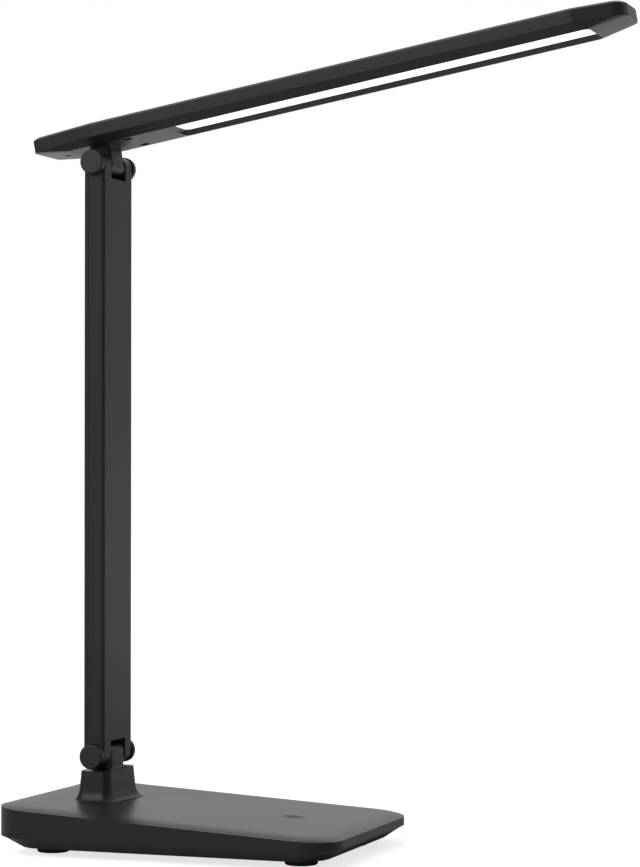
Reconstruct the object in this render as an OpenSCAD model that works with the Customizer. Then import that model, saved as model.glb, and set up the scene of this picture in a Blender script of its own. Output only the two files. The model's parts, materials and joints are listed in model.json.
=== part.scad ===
// Folding LED desk lamp: wedge base, flat arm and long flat head on two friction hinges.
// Origin on the desk, under the middle of the lamp's overall box. +X runs to the head's tip, +Z up.
// Everything is in millimetres. The arm stands upright at rest and both hinge axes run along Y.

/* [Arm] */
// Distance between the two hinge axes
arm_pitch = 300; // [240:5:340]
// Width of the arm across the hinge axes
arm_wid = 35.6; // [33:0.2:42]
// Thickness of the arm from front to back
arm_thk = 11.4; // [10.6:0.2:14]
// Corner radius of the arm's cross-section
arm_edge_r = 1.6; // [0.8:0.2:2.4]
// Wall of the arm's front housing
arm_wall = 2; // [1.6:0.1:2.6]
// Thickness of the rear cover strip
cover_thk = 2.9; // [2.4:0.1:3.4]
// Height of the shadow gap along the cover's side seam
shadow_gap = 0.3; // [0.1:0.05:0.5]
// Thickness of the steel strip inside the arm
spine_thk = 1.5; // [1:0.1:2]
// Width of the steel strip inside the arm
spine_wid = 22; // [16:1:26]

/* [Hinges] */
// Diameter of the hinge pins
pin_dia = 5; // [4:0.2:5.6]
// Radial running clearance of a pin in its bores
pin_gap = 0.05; // [0.02:0.01:0.09]
// Width of the tongue that stands between the fork's ears
tongue_wid = 17.4; // [14:0.2:19]
// Side clearance between the tongue and each ear
tongue_gap = 0.2; // [0.15:0.05:0.4]
// Distance from a hinge axis to the bottom of its fork slot
crotch = 7.4; // [7.4:0.1:9]
// Diameter of the round hinge caps
cap_dia = 12.5; // [11:0.1:13.4]
// How far a hinge cap stands out of the ear
cap_proud = 3.5; // [1.5:0.1:4]
// Rounding of a hinge cap's rim
cap_round = 1; // [0.4:0.1:1.4]
// Diameter of the pin's head and of the pocket that takes it
pin_head_dia = 8.4; // [7.6:0.1:8.6]
// Thickness of the pin's head and of its nut
pin_head_thk = 2.4; // [1.8:0.1:2.8]
// Depth of the pocket in each ear
ear_pocket = 4.2; // [4:0.1:5]
// Thickness of a friction washer
washer_thk = 0.9; // [0.6:0.1:1.2]
// Diameter of a friction washer
washer_dia = 9.2; // [8.4:0.1:9.6]

/* [Base] */
// Length of the base from back to front
base_len = 179; // [160:1:210]
// Width of the base
base_wid = 130; // [110:1:150]
// Corner radius of the base seen from above
base_r = 20.5; // [18:0.5:26]
// Distance from the base's back edge to the hinge axis
base_back = 35.6; // [30:0.1:44]
// Height of the side wall's top edge at the back
wall_top_back = 24.1; // [22:0.1:28]
// Height of the side wall's top edge at the front
wall_top_front = 13.7; // [13:0.1:17]
// Rise of the top face above the wall's edge
crown = 1.3; // [1:0.1:3.5]
// Width of the rolled border of the top face
crown_roll = 15; // [10:1:16]
// Wall of the base's top shell
shell_wall = 2.4; // [2:0.1:3]
// Height of the lower hinge axis above the desk
lower_axis_z = 45.7; // [44:0.1:50]
// Distance from the lower hinge axis down to the post's top face
post_drop = 8; // [7:0.1:9]
// Thickness of the post's top from front to back
post_thk = 13.8; // [12:0.2:15]
// Width of the post's top across the hinge axis
post_wid = 38.4; // [37:0.2:44]
// How far the post's foot flares out on each side
post_flare = 4; // [1:0.1:5]
// Diameter of the touch dimple
dimple_dia = 13; // [10:0.5:16]
// Depth of the touch dimple
dimple_deep = 0.8; // [0.4:0.1:1.2]
// Distance from the hinge axis forward to the touch dimple
dimple_fwd = 102.8; // [96:0.2:108]

/* [Base tray and feet] */
// Height of the tray under the seam
tray_h = 5.8; // [5:0.1:7]
// How far the tray's side slopes in towards its bottom
tray_slope = 8.8; // [5:0.1:10]
// Floor thickness of the tray
tray_floor = 2.2; // [1.8:0.1:2.8]
// Diameter of a rubber foot
foot_dia = 16.1; // [12:0.1:18]
// How far a rubber foot stands below the tray
foot_h = 3.7; // [2.5:0.1:5]
// How deep a foot sits in the tray
foot_seat = 1.1; // [0.6:0.1:1.4]
// Distance from the hinge axis back to the rear feet
foot_back = 12.8; // [8:0.2:14]
// Distance from the hinge axis forward to the front feet
foot_fwd = 118.9; // [116:0.1:124]
// Half the distance between the left and right feet
foot_side = 36.9; // [34:0.1:42]

/* [Inside the base] */
// Thickness of the steel weight
weight_thk = 6; // [4:0.5:7]
// Width of the steel weight
weight_wid = 96; // [88:1:100]
// Distance from the hinge axis back to the weight's rear edge
weight_back = 20; // [18:1:20]
// Distance from the hinge axis forward to the weight's front edge
weight_fwd = 82; // [60:1:83]
// Thickness of the circuit boards
board_thk = 1.6; // [1:0.1:1.8]
// Width of the power socket's mouth
socket_wid = 9; // [8.6:0.1:10]
// Height of the power socket's mouth
socket_h = 3.3; // [3:0.1:4]
// Depth of the power socket
socket_deep = 7.4; // [6:0.1:9]

/* [Head] */
// Distance from the upper hinge axis to the head's tip
head_fwd = 280.4; // [240:0.2:284]
// Distance from the upper hinge axis back to the head's tail
head_back = 33.3; // [32:0.1:40]
// Width of the head
head_wid = 44.6; // [42:0.2:52]
// Radius of the soft shoulders where the head starts to narrow
head_r = 14; // [12:0.5:18]
// How far the head narrows on each side at its two ends
shoulder_in = 5; // [1:0.1:6]
// Length of the narrowing part at the tip
tip_taper = 27; // [20:0.5:40]
// Corner radius at the tip
tip_r = 9; // [6:0.5:12]
// Length of the narrowing part at the tail
tail_taper = 36.5; // [28:0.5:40]
// Corner radius at the tail
tail_r = 5; // [4:0.5:9]
// Angle of the head above level at rest
head_tilt = 9.85; // [0:0.05:25]
// Distance from the upper hinge axis up to the head's flat underside
head_under = 8.9; // [8.6:0.1:11]
// Height of the head's bevelled lower cover
lower_h = 3; // [2.6:0.1:4]
// Height of the head's upper shell
upper_h = 7.45; // [6.9:0.05:9]
// Width of the bevel along the head's long sides
bevel_side = 6.8; // [5:0.2:8]
// Length of the underside's ramp at the tip
ramp_tip = 18.4; // [10:0.1:18.6]
// Length of the underside's ramp at the tail
ramp_tail = 18.4; // [9:0.1:18.6]
// Rounding along the head's top edge
top_round = 1.2; // [0.6:0.1:1.6]
// Wall of the head's upper shell
head_wall = 1.8; // [1.4:0.1:2.2]
// Roof of the head's upper shell
head_roof = 1.5; // [1.2:0.1:1.6]

/* [Light] */
// Distance from the upper hinge axis to the near end of the light slot
slot_near = 40; // [28:0.5:60]
// Distance from the upper hinge axis to the far end of the light slot
slot_far = 261.4; // [200:0.2:261.6]
// Flat rim left between the light slot and the bevel
slot_rim = 0.6; // [0.2:0.1:4]
// Corner radius of the light slot
slot_r = 3; // [2:0.5:8]
// Thickness of the opal diffuser
diffuser_thk = 1.2; // [0.8:0.1:1.4]
// Thickness of the clear light guide
guide_thk = 2.2; // [2:0.1:2.4]
// Number of light-emitting diodes
led_count = 36; // [12:2:40]
// Diameter of the screw pockets in the head's underside
screw_pocket = 4.9; // [4.4:0.1:5.4]
// Distance from the upper hinge axis forward to the two front screws
screw_fwd = 17.5; // [14:0.5:20]
// Sideways distance of the two front screws from the middle
screw_side = 10.8; // [9.6:0.1:12]
// Distance from the upper hinge axis back to the tail screw
screw_tail = 22; // [20:0.5:23]

/* [Hidden] */

$fn = 96;
corner_fn = 40;
skin = 0.05;
past = 1;
fit_gap = 0.15;
seat_gap = 0.05;

black = [0.13, 0.13, 0.14];
dark = [0.18, 0.18, 0.19];
steel = [0.62, 0.63, 0.65];
zinc = [0.75, 0.75, 0.74];
rubber = [0.09, 0.09, 0.09];
board_green = [0.1, 0.36, 0.22];
copper = [0.8, 0.5, 0.3];
opal = [1, 0.97, 0.88];
clear = [0.82, 0.9, 0.95];
white = [0.95, 0.95, 0.94];
wire_red = [0.7, 0.12, 0.1];

// The lamp's box runs from the head's tail corner to its tip, which sets the hinges' place along X
cover_top = head_under + lower_h;
head_top = cover_top + upper_h;
reach_front = head_fwd * cos(head_tilt) - cover_top * sin(head_tilt);
reach_back = max(base_back, head_back * cos(head_tilt) + (head_top - top_round) * sin(head_tilt));
hinge_x = (reach_back - reach_front) / 2;
upper_axis_z = lower_axis_z + arm_pitch;

// Arm and fork
half_thk = arm_thk / 2;
ear_in = tongue_wid / 2 + tongue_gap;
cover_x = cover_thk - half_thk;
cover_end = crotch - 0.8;
pocket_end = crotch + 6;
spine_inset = 1;
spine_bite = 1.2;
spine_l = arm_pitch - 2 * pocket_end - 2 * spine_inset;
wire_dia = 1.6;

// Hinge pin, from its head's outer face to its threaded end
pin_bore = pin_dia / 2 + pin_gap;
pocket_y = arm_wid / 2 - ear_pocket;
pocket_gap = 0.1;
thread_dia = 4;
nut_flats = 7;
washer_seat = washer_thk + seat_gap - tongue_gap + seat_gap;
cap_plug = ear_pocket - pin_head_thk - 0.6;

// Base
seam_z = foot_h + tray_h;
base_mid = base_len / 2 - base_back;
base_slope = atan((wall_top_back - wall_top_front) / base_len);
wall_top_mid = (wall_top_back + wall_top_front) / 2;
roll_steps = 6;
floor_z = foot_h + tray_floor;
boss_r = 3.8;
base_screw_r = 1.4;
base_screw_head_r = 2.8;
base_screw_head_thk = 1;
base_screw_len = 7;
screw_seat = 1.2;
post_steps = 5;
post_r = 3;
board_z = floor_z + 3.6;
board_len = 38;
board_wid = 44;
socket_z = floor_z + 6.2 + board_thk + socket_h / 2;
socket_board_len = 13;
socket_board_wid = 15;
socket_wall = 0.3;

// Head interior, in the head's own frame with its origin on the upper hinge axis
slot_half = head_wid / 2 - bevel_side - slot_rim;
lip_thk = 1.6;
lip_h = 2.2;
lip_out = head_wall + fit_gap;
cavity_half = head_wid / 2 - lip_out - lip_thk;
flat_r = 4;
diffuser_z = cover_top + seat_gap;
guide_z = diffuser_z + diffuser_thk + seat_gap;
reflector_z = guide_z + guide_thk + seat_gap;
reflector_thk = 0.3;
heat_z = reflector_z + reflector_thk + seat_gap;
heat_thk = head_top - head_roof - 0.1 - heat_z;
led_board_thk = 1;
led_w = 3;
led_deep = 0.9;
led_gap = 0.2;
guide_half = cavity_half - 0.1 - led_board_thk - led_deep - led_gap;
guide_over = 1.5;
guide_r = 4;
heat_r = 6;
led_end = min(slot_far, head_fwd - tip_taper - 1.5);
tail_screw_rise = 0.4;
screw_thread_r = 1.1;
screw_head_thk = 1.2;
head_boss_r = 2.6;
screw_sink = 2.4;

// Height of the base's top plane above the desk, at a distance forward of the hinge axis
function top_z(fwd) = wall_top_mid + crown - (fwd - base_mid) * tan(base_slope);

// Rise and inset of the rolled border, from 0 at the wall to 1 at the flat
function roll_rise(t) = crown * (1 - pow(1 - t, 2));

// Half-growth of the post's section, from 0 at its top to 1 at its foot
function flare(t) = post_flare * pow(t, 2.8);

module round_rect(l, w, r) {
    square([l - 2 * r, w], center = true);
    square([l, w - 2 * r], center = true);
    for (sx = [-1, 1], sy = [-1, 1])
        translate([sx * (l / 2 - r), sy * (w / 2 - r)]) circle(r);
}

module plate(l, w, r, h) {
    linear_extrude(height = h) round_rect(l, w, r);
}

// Rounded bar standing on its edge: l along X, h along Z, t along Y
module slot_bar(w, h, deep) {
    rotate([90, 0, 90])
        linear_extrude(height = deep) {
            square([w - h, h], center = true);
            for (s = [-1, 1]) translate([s * (w - h) / 2, 0]) circle(d = h);
        }
}

module along_y(r, y0, y1) {
    translate([0, y0, 0]) rotate([-90, 0, 0]) cylinder(h = y1 - y0, r = r);
}

// Straight run of wire with rounded joints
module wire(points) {
    for (i = [0 : len(points) - 2]) {
        a = points[i];
        d = points[i + 1] - a;
        translate(a)
            rotate([0, acos(d[2] / norm(d)), atan2(d[1], d[0])])
                cylinder(h = norm(d), d = wire_dia);
    }
    for (i = [1 : 1 : len(points) - 2]) translate(points[i]) sphere(d = wire_dia + 0.3);
}

module at_base() { translate([hinge_x, 0, 0]) children(); }
module at_lower() { translate([hinge_x, 0, lower_axis_z]) children(); }
module at_upper() { translate([hinge_x, 0, upper_axis_z]) children(); }
module at_head() { at_upper() rotate([0, -head_tilt, 0]) children(); }

module at_feet() {
    for (x = [-foot_back, foot_fwd], y = [-foot_side, foot_side]) translate([x, y, 0]) children();
}

// Solid wedge with the rolled top, shrunk by a wall and a roof
module wedge(inset, roof) {
    $fn = corner_fn;
    hull() {
        translate([base_mid, 0, seam_z]) plate(base_len - 2 * inset, base_wid - 2 * inset, base_r - inset, skin);
        for (i = [0 : roll_steps]) {
            d = crown_roll * i / roll_steps * (1 - inset / base_r);
            translate([base_mid, 0, wall_top_mid])
                rotate([0, base_slope, 0])
                    translate([0, 0, roll_rise(i / roll_steps) - roof])
                        plate((base_len - 2 * inset - 2 * d) / cos(base_slope),
                            base_wid - 2 * inset - 2 * d, base_r - inset - d, skin);
        }
    }
}

// Flared post under the lower fork
module post() {
    $fn = 32;
    post_top = lower_axis_z - post_drop;
    post_foot = top_z(0) - 0.6;
    rise = post_top - post_foot;
    for (i = [0 : post_steps - 1])
        hull()
            for (k = [i, i + 1]) {
                t = 1 - pow(1 - k / post_steps, 1.7);
                translate([0, 0, post_top - rise * t])
                    plate(post_thk + 2 * flare(t), post_wid + 2 * flare(t), post_r + flare(t), skin);
            }
}

// Tongue with its rounded end on the axis and its root a distance below
module tongue(root) {
    difference() {
        union() {
            along_y(half_thk, -tongue_wid / 2, tongue_wid / 2);
            translate([-half_thk, -tongue_wid / 2, -root]) cube([arm_thk, tongue_wid, root]);
        }
        along_y(pin_bore, -tongue_wid, tongue_wid);
        for (s = [-1, 1])
            along_y(washer_dia / 2 + fit_gap, s > 0 ? tongue_wid / 2 - washer_seat : -tongue_wid,
                s > 0 ? tongue_wid : washer_seat - tongue_wid / 2);
    }
}

module base_shell() {
    color(black) at_base() {
        difference() {
            union() {
                difference() {
                    wedge(0, 0);
                    translate([0, 0, -skin]) wedge(shell_wall, shell_wall);
                    translate([base_mid, 0, seam_z - past])
                        plate(base_len - 2 * shell_wall, base_wid - 2 * shell_wall, base_r - shell_wall,
                            past + skin);
                }
                for (x = [-foot_back, foot_fwd], y = [-foot_side, foot_side])
                    translate([x, y, floor_z + screw_seat + seat_gap])
                        cylinder(h = top_z(x) - shell_wall / 2 - floor_z - screw_seat, r = boss_r);
                post();
            }
            for (x = [-foot_back, foot_fwd], y = [-foot_side, foot_side])
                translate([x, y, floor_z]) cylinder(h = base_screw_len + past, r = base_screw_r + seat_gap);
            dish_r = (pow(dimple_dia / 2, 2) + pow(dimple_deep, 2)) / (2 * dimple_deep);
            translate([dimple_fwd, 0, top_z(dimple_fwd) + dish_r - dimple_deep]) sphere(dish_r);
            translate([-base_back - past, 0, socket_z])
                slot_bar(socket_wid + 0.8, socket_h + 0.8, shell_wall + 2 * past);
            translate([-base_back - past, 0, socket_z])
                slot_bar(socket_wid + 3.6, socket_h + 3.6, past + 0.8);
        }
        translate([0, 0, lower_axis_z]) tongue(post_drop + 0.5);
    }
}

module base_tray() {
    color(dark) at_base() difference() {
        union() {
            difference() {
                hull() {
                    translate([base_mid, 0, foot_h])
                        plate(base_len - 2 * tray_slope, base_wid - 2 * tray_slope,
                            base_r - tray_slope / 2, skin);
                    translate([base_mid, 0, seam_z - skin - seat_gap])
                        plate(base_len - 1.2, base_wid - 1.2, base_r - 0.6, skin);
                }
                hull() {
                    translate([base_mid, 0, floor_z])
                        plate(base_len - 2 * tray_slope - 2 * tray_floor,
                            base_wid - 2 * tray_slope - 2 * tray_floor, base_r - tray_slope, skin);
                    translate([base_mid, 0, seam_z])
                        plate(base_len - 5 * shell_wall, base_wid - 5 * shell_wall,
                            base_r - 2 * shell_wall, skin);
                }
            }
            translate([base_mid, 0, seam_z - past - seat_gap]) difference() {
                plate(base_len - 2 * shell_wall - 2 * fit_gap, base_wid - 2 * shell_wall - 2 * fit_gap,
                    base_r - shell_wall - fit_gap, past + 1.8);
                translate([0, 0, -past])
                    plate(base_len - 5 * shell_wall, base_wid - 5 * shell_wall,
                        base_r - 2 * shell_wall, 2 * past + 1.8 + skin);
            }
            for (x = [-foot_back, foot_fwd], y = [-foot_side, foot_side])
                translate([x, y, floor_z - skin]) cylinder(h = screw_seat + skin, r = boss_r);
            for (x = [dimple_fwd - board_len / 2 + 4, dimple_fwd + board_len / 2 - 4],
                y = [4 - board_wid / 2, board_wid / 2 - 4])
                translate([x, y, floor_z - skin]) cylinder(h = board_z - floor_z - seat_gap, r = 2.2);
            for (y = [3 - socket_board_wid / 2, socket_board_wid / 2 - 3])
                translate([-base_back + shell_wall + 2.5, y - 1, floor_z - skin])
                    cube([socket_board_len - 4, 2, 6.2 - seat_gap]);
        }
        at_feet() {
            translate([0, 0, foot_h - past]) cylinder(h = past + foot_seat, d = foot_dia + 2 * fit_gap);
            cylinder(h = floor_z, r = base_screw_head_r + fit_gap);
            cylinder(h = seam_z, r = base_screw_r + 2 * seat_gap);
        }
    }
}

module base_weight() {
    color(steel) at_base() difference() {
        translate([(weight_fwd - weight_back) / 2, 0, floor_z + seat_gap])
            plate(weight_fwd + weight_back, weight_wid, 6, weight_thk);
        for (y = [-foot_side, foot_side])
            translate([-foot_back, y, floor_z - past]) cylinder(h = weight_thk + 2 * past, r = boss_r + 0.6);
        translate([weight_fwd - 12, 0, floor_z - past]) cylinder(h = weight_thk + 2 * past, r = 2.6);
    }
}

module rubber_feet() {
    color(rubber) at_base() at_feet() {
        cylinder(h = 0.6, r1 = foot_dia / 2 - 0.6, r2 = foot_dia / 2);
        translate([0, 0, 0.6]) cylinder(h = foot_h + foot_seat - seat_gap - 0.6, d = foot_dia);
    }
}

module base_screws() {
    color(zinc) at_base() at_feet() {
        head_z = floor_z - base_screw_head_thk - seat_gap;
        difference() {
            translate([0, 0, head_z]) cylinder(h = base_screw_head_thk, r = base_screw_head_r);
            for (a = [0, 90])
                translate([0, 0, head_z]) rotate([0, 0, a]) cube([3, 0.7, 1], center = true);
        }
        translate([0, 0, floor_z - seat_gap - skin]) cylinder(h = base_screw_len, r = base_screw_r);
    }
}

module control_board() {
    color(board_green) at_base() translate([dimple_fwd, 0, board_z]) {
        translate([-board_len / 2, -board_wid / 2, 0]) cube([board_len, board_wid, board_thk]);
        translate([-board_len / 2 + 3, -9, board_thk]) cube([8, 6, 1.4]);
        translate([-board_len / 2 + 3, 8, board_thk]) cube([5, 8, 2.2]);
        translate([10, -14, board_thk]) cylinder(h = 2.6, r = 2.5);
        translate([10, 12, board_thk]) cube([4, 5, 1.2]);
    }
}

module touch_contact() {
    roof_z = top_z(dimple_fwd) - shell_wall - seat_gap;
    color(copper) at_base() {
        translate([dimple_fwd, 0, roof_z]) rotate([0, base_slope, 0])
            translate([0, 0, -0.5]) cylinder(h = 0.4, r = dimple_dia / 2 - 0.5);
        translate([dimple_fwd, 0, board_z + board_thk + seat_gap])
            cylinder(h = roof_z - 0.3 - board_z - board_thk - seat_gap, r = 1.6);
    }
}

module power_socket() {
    color(steel) at_base() translate([-base_back + 0.9, 0, socket_z]) {
        difference() {
            slot_bar(socket_wid, socket_h, socket_deep);
            translate([-past, 0, 0])
                slot_bar(socket_wid - 2 * socket_wall, socket_h - 2 * socket_wall, socket_deep);
        }
        translate([1, -socket_wid / 2 + 1.2, -0.35]) cube([socket_deep - 1.5, socket_wid - 2.4, 0.7]);
    }
}

module socket_board() {
    color(board_green) at_base()
        translate([-base_back + shell_wall + 0.6, -socket_board_wid / 2, floor_z + 6.2])
            cube([socket_board_len, socket_board_wid, board_thk - seat_gap]);
}

module base_wire() {
    wire_z = floor_z + seat_gap + weight_thk + wire_dia / 2 + seat_gap;
    color(wire_red) at_base() wire([
        [-base_back + shell_wall + 0.6 + socket_board_len + seat_gap, 4, wire_z],
        [dimple_fwd - board_len / 2 + 4, 4, wire_z],
        [dimple_fwd - board_len / 2 + 4, 4, board_z + board_thk + seat_gap]
    ]);
}

module hinge_pin() {
    color(steel) {
        difference() {
            along_y(pin_head_dia / 2, -pocket_y - pin_head_thk, -pocket_y - seat_gap);
            translate([0, -pocket_y - pin_head_thk, 0]) cube([1, 2, 5], center = true);
        }
        along_y(pin_dia / 2, -pocket_y - seat_gap - skin, pocket_y);
        along_y(thread_dia / 2, pocket_y - skin, pocket_y + pin_head_thk + 0.3);
    }
}

module lower_hinge_pin() { at_lower() hinge_pin(); }
module upper_hinge_pin() { at_upper() hinge_pin(); }

module hinge_nut() {
    color(zinc) difference() {
        translate([0, pocket_y + seat_gap, 0]) rotate([-90, 0, 0])
            cylinder(h = pin_head_thk - 2 * seat_gap, r = nut_flats / sqrt(3), $fn = 6);
        along_y(thread_dia / 2 + seat_gap, pocket_y - past, arm_wid);
    }
}

module hinge_nuts() {
    at_lower() hinge_nut();
    at_upper() hinge_nut();
}

module washer_pair() {
    color(copper) for (s = [-1, 1]) difference() {
        y_in = ear_in - seat_gap - washer_thk;
        y_out = ear_in - seat_gap;
        along_y(washer_dia / 2, s > 0 ? y_in : -y_out, s > 0 ? y_out : -y_in);
        along_y(pin_bore + seat_gap, -arm_wid, arm_wid);
    }
}

module lower_washers() { at_lower() washer_pair(); }
module upper_washers() { at_upper() washer_pair(); }

module cap_pair() {
    color(black) for (s = [0, 180]) rotate([0, 0, s]) {
        face = arm_wid / 2 + seat_gap;
        along_y(pin_head_dia / 2 + pocket_gap - seat_gap, face - cap_plug, face + skin);
        translate([0, face, 0]) rotate([-90, 0, 0]) rotate_extrude()
            polygon([
                [0, 0], [cap_dia / 2, 0],
                for (a = [0 : 18 : 90])
                    [cap_dia / 2 - cap_round * (1 - cos(a)), cap_proud - cap_round * (1 - sin(a))],
                [0, cap_proud]
            ]);
    }
}

module lower_caps() { at_lower() cap_pair(); }
module upper_caps() { at_upper() cap_pair(); }

// Outer form of the arm, from the rounded lower ears to the rounded upper ears
module arm_form() {
    intersection() {
        translate([0, 0, -arm_thk]) plate(arm_thk, arm_wid, arm_edge_r, arm_pitch + 2 * arm_thk);
        union() {
            for (z = [0, arm_pitch]) translate([0, 0, z]) along_y(half_thk, -arm_wid, arm_wid);
            translate([-half_thk, -arm_wid, 0]) cube([arm_thk, 2 * arm_wid, arm_pitch]);
        }
    }
}

module fork_slots() {
    for (z = [crotch - 2 * arm_thk, arm_pitch - crotch])
        translate([-arm_thk, -ear_in, z]) cube([2 * arm_thk, 2 * ear_in, 2 * arm_thk]);
}

module arm_housing() {
    color(black) at_lower() difference() {
        arm_form();
        fork_slots();
        translate([-arm_thk, -arm_wid, cover_end])
            cube([arm_thk + cover_x, 2 * arm_wid, arm_pitch - 2 * cover_end]);
        translate([cover_x - past, arm_wall - arm_wid / 2, pocket_end])
            cube([half_thk - arm_wall - cover_x + past, arm_wid - 2 * arm_wall,
                arm_pitch - 2 * pocket_end]);
        for (z = [0, arm_pitch]) translate([0, 0, z]) {
            along_y(pin_bore, -arm_wid, arm_wid);
            along_y(pin_head_dia / 2 + pocket_gap, -arm_wid, -pocket_y);
            along_y(pin_head_dia / 2 + pocket_gap, pocket_y, arm_wid);
        }
        for (s = [-1, 1]) translate([0, 0, arm_pitch / 2 + s * (spine_l / 2 - 6)])
            rotate([0, 90, 0]) cylinder(h = half_thk - arm_wall + spine_bite, r = 1.4 + seat_gap);
    }
}

module arm_cover() {
    color(black) at_lower() {
        difference() {
            intersection() {
                arm_form();
                translate([-arm_thk, -arm_wid, cover_end + seat_gap])
                    cube([arm_thk + cover_x - seat_gap, 2 * arm_wid,
                        arm_pitch - 2 * cover_end - 2 * seat_gap]);
            }
            fork_slots();
            for (s = [-1, 1]) translate([cover_x - seat_gap, s * arm_wid / 2, arm_pitch / 2])
                cube([2 * shadow_gap, 2 * shadow_gap, arm_pitch], center = true);
        }
        lip_l = arm_pitch - 2 * pocket_end - 2 * fit_gap;
        lip_w = arm_wid - 2 * arm_wall - 2 * fit_gap;
        translate([cover_x - seat_gap - skin, 0, arm_pitch / 2]) rotate([0, 90, 0])
            difference() {
                translate([-lip_l / 2, -lip_w / 2, 0]) cube([lip_l, lip_w, 1.2]);
                translate([1.2 - lip_l / 2, 1.2 - lip_w / 2, -past])
                    cube([lip_l - 2.4, lip_w - 2.4, 2 * past + 1.2]);
            }
    }
}

module arm_spine() {
    color(steel) at_lower()
        translate([half_thk - arm_wall - seat_gap - spine_thk, 0, arm_pitch / 2])
            rotate([0, 90, 0]) difference() {
                plate(spine_l, spine_wid, 3, spine_thk);
                for (i = [-2 : 2]) translate([i * spine_l / 6, 0, -past]) plate(24, 6, 2.9, spine_thk + 2 * past);
                for (s = [-1, 1]) translate([s * (spine_l / 2 - 6), 0, -past])
                    cylinder(h = spine_thk + 2 * past, r = 1.5);
            }
}

module spine_screws() {
    color(zinc) at_lower()
        for (s = [-1, 1])
            translate([half_thk - arm_wall - spine_thk - 2 * seat_gap, 0, arm_pitch / 2 + s * (spine_l / 2 - 6)])
                rotate([0, 90, 0]) {
                    translate([0, 0, -1.4]) difference() {
                        cylinder(h = 1.4, r = 2.4);
                        for (a = [0, 90]) rotate([0, 0, a]) cube([2.6, 0.6, 1.2], center = true);
                    }
                    translate([0, 0, -skin]) cylinder(h = spine_thk + spine_bite, r = 1.4);
                }
}

module arm_wire() {
    x = half_thk - arm_wall - spine_thk - 3 * seat_gap - wire_dia / 2;
    color(wire_red) at_lower()
        for (y = [-6, -8]) translate([x, y, pocket_end + spine_inset])
            cylinder(h = arm_pitch - 2 * pocket_end - 2 * spine_inset, d = wire_dia);
}

// Corner and shoulder pillars of the head's plan outline, shrunk by an inset
module head_plan(inset, h) {
    for (s = [-1, 1]) {
        for (x = [tail_taper - head_back, head_fwd - tip_taper])
            translate([x, s * (head_wid / 2 - head_r), 0]) cylinder(h = h, r = head_r - inset);
        for (e = [[tail_r - head_back, tail_r], [head_fwd - tip_r, tip_r]])
            translate([e[0], s * (head_wid / 2 - shoulder_in - e[1]), 0])
                cylinder(h = h, r = e[1] - inset);
    }
}

module at_head_screws() {
    for (p = [[screw_fwd, -screw_side, 0], [screw_fwd, screw_side, 0], [-screw_tail, 0, tail_screw_rise]])
        translate(p) children();
}

module head_shell() {
    $fn = 60;
    color(black) at_head() difference() {
        union() {
            difference() {
                hull() {
                    translate([0, 0, cover_top + seat_gap])
                        head_plan(0, upper_h - top_round - seat_gap);
                    for (a = [30, 60, 90])
                        translate([0, 0, head_top - top_round * (1 - sin(a)) - skin])
                            head_plan(top_round * (1 - cos(a)), skin);
                }
                hull() translate([0, 0, cover_top - past]) head_plan(head_wall, upper_h - head_roof + past);
            }
            at_head_screws() translate([0, 0, cover_top + lip_h])
                cylinder(h = upper_h - lip_h - tail_screw_rise - skin, r = head_boss_r);
        }
        at_head_screws() translate([0, 0, cover_top])
            cylinder(h = upper_h - head_roof - tail_screw_rise, r = screw_thread_r + seat_gap);
    }
}

module head_cover() {
    slot_len = slot_far - slot_near;
    color(black) at_head() difference() {
        union() {
            hull() {
                translate([(head_fwd - ramp_tip + ramp_tail - head_back) / 2, 0, head_under])
                    plate(head_fwd - ramp_tip - ramp_tail + head_back, head_wid - 2 * bevel_side, flat_r, skin);
                translate([0, 0, cover_top - skin]) head_plan(0, skin);
            }
            difference() {
                hull() translate([0, 0, cover_top - skin]) head_plan(lip_out, lip_h + skin);
                hull() translate([0, 0, cover_top]) head_plan(lip_out + lip_thk, lip_h + past);
            }
            at_head_screws() translate([0, 0, cover_top - tail_screw_rise - skin])
                cylinder(h = lip_h + tail_screw_rise - seat_gap, r = head_boss_r);
            mirror([0, 0, 1]) tongue(head_under + 0.5);
        }
        translate([slot_near + slot_len / 2, 0, head_under - past])
            plate(slot_len, 2 * slot_half, slot_r, lower_h + 2 * past);
        at_head_screws() {
            translate([0, 0, head_under - past]) cylinder(h = past + screw_sink, d = screw_pocket);
            translate([0, 0, head_under]) cylinder(h = lower_h + lip_h, r = screw_thread_r + 3 * seat_gap);
        }
    }
}

module light_stack(over, z, thk) {
    translate([(slot_near + slot_far) / 2, 0, z])
        plate(slot_far - slot_near + 2 * over, 2 * guide_half, guide_r, thk);
}

module diffuser() {
    color(opal) at_head() light_stack(guide_over, diffuser_z, diffuser_thk);
}

module light_guide() {
    color(clear) at_head() translate([(slot_near + slot_far) / 2, 0, guide_z])
        plate(slot_far - slot_near + 2 * guide_over, 2 * guide_half, guide_r, guide_thk);
}

module reflector_sheet() {
    color(white) at_head() light_stack(guide_over, reflector_z, reflector_thk);
}

module led_board() {
    color(board_green) at_head()
        translate([slot_near - guide_over, cavity_half - 0.1 - led_board_thk, diffuser_z])
            cube([led_end - slot_near + guide_over, led_board_thk, heat_z - diffuser_z - seat_gap]);
}

module leds() {
    pitch = (led_end - slot_near) / led_count;
    color(white) at_head()
        for (i = [0 : led_count - 1])
            translate([slot_near + pitch * (i + 0.5) - led_w / 2,
                cavity_half - 0.1 - led_board_thk - led_deep, guide_z + guide_thk / 2 - 0.7])
                cube([led_w, led_deep - 0.02, 1.4]);
}

module heat_plate() {
    color(steel) at_head() translate([(slot_near + slot_far) / 2, 0, heat_z])
        plate(slot_far - slot_near + 2 * guide_over, 2 * cavity_half - 0.4, heat_r, heat_thk);
}

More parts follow.
